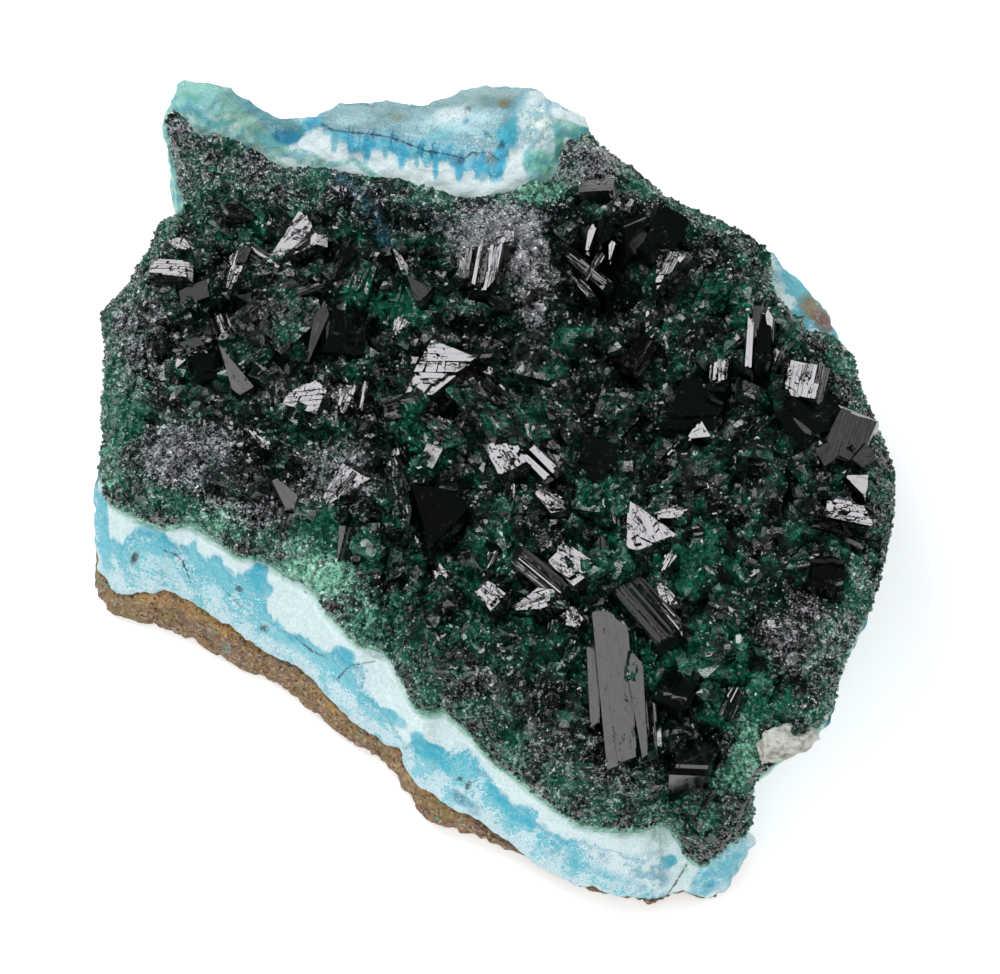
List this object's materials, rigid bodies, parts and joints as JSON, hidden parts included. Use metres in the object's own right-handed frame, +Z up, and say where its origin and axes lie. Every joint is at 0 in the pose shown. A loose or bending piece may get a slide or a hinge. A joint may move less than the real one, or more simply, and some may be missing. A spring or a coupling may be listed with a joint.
{
  "type": "mineral specimen",
  "caption": "Loose piece of vein rock: a crust of dark green clinoatacamite crystals over blue chrysocolla and a thin brown limonite skin, resting on its flat underside.",
  "frame": {"origin": "centre of the bounding box's footprint, on the plane that the piece rests on", "axes": "+Z up out of the flat underside through the layers to the crystals; -Y towards the sawn-looking front where the layers show; +X to the right as the front is faced"},
  "size_m": [0.056, 0.056, 0.0211],
  "materials": {
    "limonite": "rough, earthy",
    "chrysocolla": "matt to waxy, banded white to blue",
    "clinoatacamite": "glassy, near-black green crystal faces",
    "quartz": "glassy, milky"
  },
  "bodies": {
    "root": {"limonite_base": "limonite", "chrysocolla_band": "chrysocolla", "clinoatacamite_crust": "clinoatacamite", "quartz_chip": "quartz"}
  },
  "joints": []
}
